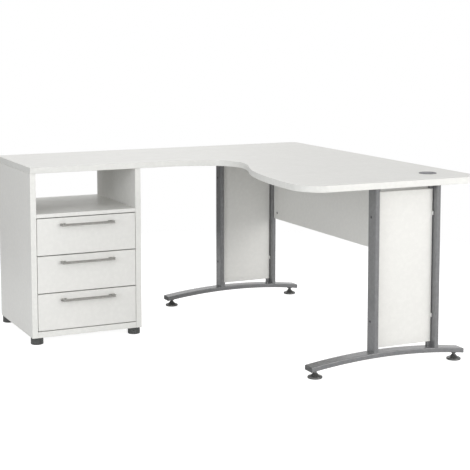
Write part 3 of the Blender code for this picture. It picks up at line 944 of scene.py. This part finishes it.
def build_drawer_runner(drawer, side, wall, inward, bottom):
    """The leg beside the drawer, its foot under the drawer, and the flange that rolls in the C."""
    node = f"{drawer}_runner_{side}"
    low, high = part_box(node)
    leg = RUNNER_LEG - RUNNER_SHEET / 2
    under = low.z - bottom + RUNNER_SHEET / 2
    leg_top = high.z - bottom
    angle = rolled([(RUNNER_FOOT, under), (leg, under), (leg, leg_top)], RUNNER_SHEET)
    shape = swept_section(angle, wall, inward, bottom, low.y, high.y)
    flange = [(0.0045, 0.0100), (leg, 0.0100), (leg, 0.0112), (0.0045, 0.0112)]
    lip = swept_section(flange, wall, inward, bottom, low.y, high.y)
    mesh = bpy.data.meshes.new("lip")
    lip.to_mesh(mesh)
    lip.free()
    shape.from_mesh(mesh)
    bpy.data.meshes.remove(mesh)
    detail(node, shape, (ZINC,))
    place = (wall + inward * 0.0062, high.y - 0.012, bottom + 0.0170)
    wheel(f"{drawer}_roller_{side}", place, 0.0050, 0.0030, body_of(node))


def wheel(name, place, radius, width, body):
    """A nylon roller, turning about X."""
    half = width / 2
    rim = 0.0005
    profile = (
        (radius * 0.35, -half),
        (radius * 0.8, -half),
        (radius - rim, -half + rim * 0.3),
        (radius, -half + rim),
        (radius, half - rim),
        (radius - rim, half - rim * 0.3),
        (radius * 0.8, half),
        (radius * 0.35, half),
    )
    shape = bmesh.new()
    turned(shape, place, profile, "X", steps=32)
    add_piece(name, shape, (NYLON,), body)


def build_drawer(drawer):
    banded_board(f"{drawer}_front", (LAMINATE, BANDING))
    for part in ("left_side", "right_side", "back"):
        node = f"{drawer}_{part}"
        shape = banded_shape(*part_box(node), BOX_BAND_ROUND)
        detail(node, shape, (FOIL, FOIL))
    shape = bmesh.new()
    rounded_block(shape, *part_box(f"{drawer}_bottom"), 0.0005)
    detail(f"{drawer}_bottom", shape, (HARDBOARD,))
    build_handle(drawer)
    for side in ("left", "right"):
        build_runners(drawer, side)


# Leg frames


class LegFrame:
    """Measures of one leg frame, read from its CAD nodes."""

    def __init__(self, name):
        self.name = name
        cap_low, cap_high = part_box(f"{name}_end_cap_left")
        rail_low, rail_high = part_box(f"{name}_foot_rail")
        self.front, self.back = rail_low.y, rail_high.y
        self.tube = cap_high.z - cap_low.z
        self.left = cap_low.x
        self.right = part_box(f"{name}_end_cap_right")[1].x
        self.rail_start, self.rail_end = rail_low.x, rail_high.x
        self.end_bottom = cap_low.z
        self.rise = rail_high.z - cap_high.z
        self.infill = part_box(f"{name}_infill_panel")
        self.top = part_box(f"{name}_upright_left")[1].z
        self.uprights = {
            "left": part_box(f"{name}_upright_left")[0].x,
            "right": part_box(f"{name}_upright_right")[1].x - self.tube,
        }
        self.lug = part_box(f"{name}_upright_left")[1].x - self.uprights["left"] - self.tube

    def underside(self, x):
        """Height of the arched rail's underside at x."""
        half = (self.right - self.left) / 2
        radius = (half**2 + self.rise**2) / (2 * self.rise)
        offset = x - (self.left + self.right) / 2
        return self.end_bottom + math.sqrt(radius**2 - offset**2) - (radius - self.rise)

    def rail_top(self, x):
        return self.underside(x) + self.tube


def build_rail(legs):
    section = round_rectangle((legs.front, 0.0), (legs.back, legs.tube), TUBE_ROUND)
    rings = []
    for i in range(RAIL_STEPS + 1):
        x = legs.rail_start + (legs.rail_end - legs.rail_start) * i / RAIL_STEPS
        rings.append([Vector((x, y, legs.underside(x) + z)) for y, z in section])
    shape = bmesh.new()
    loft(shape, rings)
    detail(f"{legs.name}_foot_rail", shape, (STEEL,))


def build_end_caps(legs):
    """Plastic caps with a rounded rim and a faint dish in the middle."""
    for side, outward in (("left", -1), ("right", 1)):
        node = f"{legs.name}_end_cap_{side}"
        outer = legs.left if side == "left" else legs.right
        outline = round_rectangle(
            (legs.front, legs.end_bottom), (legs.back, legs.end_bottom + legs.tube), TUBE_ROUND
        )
        outer_face = [
            (0.0, 0.0021),
            (0.0, 0.0012),
            (0.0004, 0.0005),
            (0.0012, 0.0),
            (0.0035, 0.0),
            (0.0041, 0.0003),
        ]
        rings = [
            [Vector((outer - outward * depth, *point)) for point in inset(outline, distance)]
            for distance, depth in outer_face
        ]
        shape = bmesh.new()
        loft(shape, rings)
        detail(node, shape, (CAP_PLASTIC,))


def tube_outline(legs, side):
    x = legs.uprights[side]
    return round_rectangle((x, legs.front), (x + legs.tube, legs.back), TUBE_ROUND)


def weld_bead(shape, start, end, radius, ripples=26):
    """A rippled bead of weld between two points along Y."""
    rings = []
    for i in range(ripples * 2 + 1):
        t = i / (ripples * 2)
        middle = start.lerp(end, t)
        swell = radius * (1.0 if i % 2 else 0.86) * (1.0 - 0.5 * (abs(2 * t - 1) ** 12))
        rings.append(circle(middle, swell, 12, "ZX"))
    loft(shape, rings)


def build_upright(legs, side):
    """The tube, its lugs over and under the infill panel, and the welds at its foot."""
    node = f"{legs.name}_upright_{side}"
    outline = tube_outline(legs, side)
    sink = 0.0006
    lower = [Vector((x, y, legs.rail_top(x) - sink)) for x, y in outline]
    upper = [Vector((x, y, legs.top)) for x, y in outline]
    shape = bmesh.new()
    loft(shape, [lower, upper])
    x = legs.uprights[side]
    inward = 1 if side == "left" else -1
    inner = x + legs.tube if side == "left" else x
    reach = sorted((inner - inward * 0.001, inner + inward * legs.lug))
    low_y, high_y = legs.infill[0].y, legs.infill[1].y
    floor = legs.rail_top((reach[0] + reach[1]) / 2)
    heights = ((floor - 0.0008, legs.infill[0].z - 0.0003), (legs.infill[1].z + 0.0003, legs.top))
    for low_z, high_z in heights:
        rounded_block(shape, (reach[0], low_y, low_z), (reach[1], high_y, high_z), LUG_ROUND)
    for edge in (x, x + legs.tube):
        height = legs.rail_top(edge) + 0.0002
        start = Vector((edge, legs.front + WELD_INSET, height))
        end = Vector((edge, legs.back - WELD_INSET, height))
        weld_bead(shape, start, end, WELD_RADIUS)
    detail(node, shape, (STEEL,))


def panel_clip(shape, inner, inward, gap, faces, height):
    """A nylon clip on the upright's inner face, whose lip wraps round the panel's front edge."""
    front, back = faces
    proud = front - CLIP_STANDING
    body = sorted((inner, inner + inward * (gap - 0.0002)))
    rounded_block(
        shape,
        (body[0], proud, height - CLIP_HALF),
        (body[1], back - 0.003, height + CLIP_HALF),
        CLIP_ROUND,
    )
    tab = sorted((inner + inward * 0.0005, inner + inward * (gap + CLIP_LIP)))
    rounded_block(
        shape,
        (tab[0], proud, height - CLIP_HALF + 0.001),
        (tab[1], front - 0.0002, height + CLIP_HALF - 0.001),
        CLIP_ROUND,
    )


def build_infill(legs):
    """The panel, held by two screws through each upright and nylon clips at its edges."""
    node = f"{legs.name}_infill_panel"
    banded_board(node, (LAMINATE, BANDING))
    low, high = legs.infill
    middle = (low.y + high.y) / 2
    body = body_of(node)
    shape = bmesh.new()
    for side, panel_edge in (("left", low.x), ("right", high.x)):
        inner = legs.uprights[side] + (legs.tube if side == "left" else 0.0)
        inward = 1 if side == "left" else -1
        for height in FITTING_HEIGHTS:
            panel_clip(shape, inner, inward, abs(panel_edge - inner), (low.y, high.y), height)
    add_piece(f"{legs.name}_panel_clips", shape, (NYLON,), body)
    for side, outward in (("left", -1), ("right", 1)):
        outer = legs.uprights[side] + (legs.tube if side == "right" else 0.0)
        places = [(outer, middle, height) for height in FITTING_HEIGHTS]
        name = f"{legs.name}_panel_screws_{side}"
        # Near-black heads: their darkness is painted shade of a socket recess.
        screws(name, places, 0.0048, 0.0012, "X", outward, body, DARK_SCREW)


def build_glides(legs):
    """Turned glides: a plastic pad, a metal disc that rises to a neck, a collar and a stem. The dark
    plastic takes in the disc's upright rim: partly a real pad, partly painted shade along the glide's
    foot.
    """
    for side in ("left", "right"):
        node = f"{legs.name}_glide_{side}"
        low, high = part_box(node)
        centre = ((low.x + high.x) / 2, (low.y + high.y) / 2, 0.0)
        radius = (high.x - low.x) / 2
        under = high.z - GLIDE_STEM_TOP
        profile = [
            (radius - 0.0050, 0.0),
            (radius - 0.0022, 0.0),
            (radius - 0.0006, 0.0008),
            (radius, 0.0024),
            (radius, 0.0054),
            (radius - 0.0008, 0.0070),
            (radius - 0.0026, 0.0082),
            (radius - 0.0070, 0.0095),
            (radius - 0.0125, 0.0118),
            (0.0110, 0.0165),
            (0.0084, 0.0205),
            (0.0070, under - 0.0095),
            (0.0062, under - 0.0070),
            (0.0074, under - 0.0055),
            (0.0105, under - 0.0032),
            (0.0118, under - 0.0022),
            (0.0118, under - 0.0004),
            (0.0112, under),
            (0.0048, under),
            (0.0048, under + 0.0130),
            (0.0040, under + 0.0138),
        ]
        shape = bmesh.new()
        turned(shape, centre, profile)
        # The rim and underside go dark: partly a real plastic pad, partly painted shade at the
        # glide's foot.
        for face in shape.faces:
            if face.calc_center_median().z < GLIDE_PAD_AND_SHADE:
                face.material_index = 1
        detail(node, shape, (GLIDE_METAL, BLACK_PLASTIC))


def build_modesty_panel():
    """The panel, with a cam fitting sunk into its inner face near each end."""
    low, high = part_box("modesty_panel")
    places = [
        Vector((low.x, y, z))
        for y in (low.y + CAM_INSET, high.y - CAM_INSET)
        for z in (low.z + CAM_LOW, high.z - CAM_HIGH)
    ]
    drill = bmesh.new()
    for place in places:
        turned(drill, place, ((CAM_HOLE, -0.002), (CAM_HOLE, CAM_HOLE_DEPTH)), "X", steps=32)
    panel = carve(banded_shape(low, high), drill)
    detail("modesty_panel", panel, (LAMINATE, BANDING))
    cams = bmesh.new()
    profile = (
        (0.0030, 0.0035),
        (0.0034, 0.0024),
        (0.0061, 0.0018),
        (0.0063, 0.0024),
        (0.0063, 0.0100),
    )
    for place in places:
        turned(cams, place, profile, "X", steps=32)
    # The cams share the near-black screw material, whose darkness is painted shade.
    add_piece("modesty_panel_cams", cams, (DARK_SCREW,), body_of("modesty_panel"))


# Studio


def build_floor():
    shape = bmesh.new()
    bmesh.ops.create_circle(shape, cap_ends=True, segments=96, radius=FLOOR_RADIUS)
    mesh = bpy.data.meshes.new("floor")
    shape.to_mesh(mesh)
    shape.free()
    mesh.materials.append(floor_finish())
    floor = bpy.data.objects.new("floor", mesh)
    floor.location.z = -FLOOR_DROP
    bpy.context.scene.collection.objects.link(floor)


def soft_light(name, place, target, size, power, colour):
    lamp = bpy.data.lights.new(name, "AREA")
    lamp.shape = "RECTANGLE"
    lamp.size, lamp.size_y = size
    lamp.energy = power
    lamp.color = colour
    holder = bpy.data.objects.new(name, lamp)
    holder.location = place
    direction = Vector(target) - Vector(place)
    holder.rotation_mode = "QUATERNION"
    holder.rotation_quaternion = direction.to_track_quat("-Z", "Y")
    bpy.context.scene.collection.objects.link(holder)


def build_world():
    """White behind the desk, and an even light from all round that is dim from one side."""
    world = bpy.data.worlds.new("studio")
    world.use_nodes = True
    bpy.context.scene.world = world
    tree = world.node_tree
    light = tree.nodes["Background"]
    light.inputs["Color"].default_value = (*NEUTRAL, 1.0)
    direction = tree.nodes.new("ShaderNodeTexCoord")
    towards = tree.nodes.new("ShaderNodeVectorMath")
    towards.operation = "DOT_PRODUCT"
    towards.inputs[1].default_value = DIM_SIDE
    tree.links.new(direction.outputs["Generated"], towards.inputs[0])
    strength = remap(tree, towards.outputs["Value"], AMBIENT, DIMMED, 0.70, 0.95)
    tree.links.new(strength, light.inputs["Strength"])
    backdrop = tree.nodes.new("ShaderNodeBackground")
    backdrop.inputs["Color"].default_value = (*NEUTRAL, 1.0)
    backdrop.inputs["Strength"].default_value = 1.0
    path = tree.nodes.new("ShaderNodeLightPath")
    blend = tree.nodes.new("ShaderNodeMixShader")
    tree.links.new(path.outputs["Is Camera Ray"], blend.inputs["Fac"])
    tree.links.new(light.outputs["Background"], blend.inputs[1])
    tree.links.new(backdrop.outputs["Background"], blend.inputs[2])
    tree.links.new(blend.outputs["Shader"], tree.nodes["World Output"].inputs["Surface"])


def build_lights():
    """Large soft lights, most of them in front; each line gives place, target, size and watts."""
    soft_light("right_light", (2.6, -4.6, 1.4), (0.1, -0.2, 0.4), (2.2, 2.0), 71, WARM)
    soft_light("left_light", (-3.4, -4.6, 2.0), (-0.2, 0.1, 0.4), (2.2, 2.0), 21, WARMER)
    soft_light("side_light", (-3.2, -1.9, 1.2), (0.1, -0.6, 0.4), (1.6, 1.6), 32, COOL)
    soft_light("back_light", (0.2, 3.4, 3.2), (0.1, 0.2, 0.6), (3.4, 2.4), 38, NEUTRAL)
    soft_light("high_light", (1.8, -3.6, 3.8), (0.2, -0.1, 0.4), (2.4, 2.4), 12, NEUTRAL)
    soft_light("near_light", (1.1, -2.9, 0.9), (0.45, -0.7, 0.4), (1.0, 1.0), 5.5, NEUTRAL)


def build_camera():
    camera = bpy.data.cameras.new("camera")
    camera.lens = LENS
    camera.sensor_width = SENSOR
    camera.shift_y = LENS_SHIFT
    holder = bpy.data.objects.new("camera", camera)
    holder.location = CAMERA_PLACE
    holder.rotation_euler = (math.radians(90 - CAMERA_PITCH), 0.0, math.radians(-CAMERA_YAW))
    bpy.context.scene.collection.objects.link(holder)
    bpy.context.scene.camera = holder


build_worktop()
build_pedestal()
build_pedestal_feet()
build_grommet()
for drawer in ("drawer_1", "drawer_2", "drawer_3"):
    build_drawer(drawer)
for legs in (LegFrame("rear_frame"), LegFrame("front_frame")):
    build_rail(legs)
    build_end_caps(legs)
    for side in ("left", "right"):
        build_upright(legs, side)
    build_infill(legs)
    build_glides(legs)
build_modesty_panel()
build_floor()
build_world()
build_lights()
build_camera()
bpy.context.scene.view_settings.view_transform = "Standard"
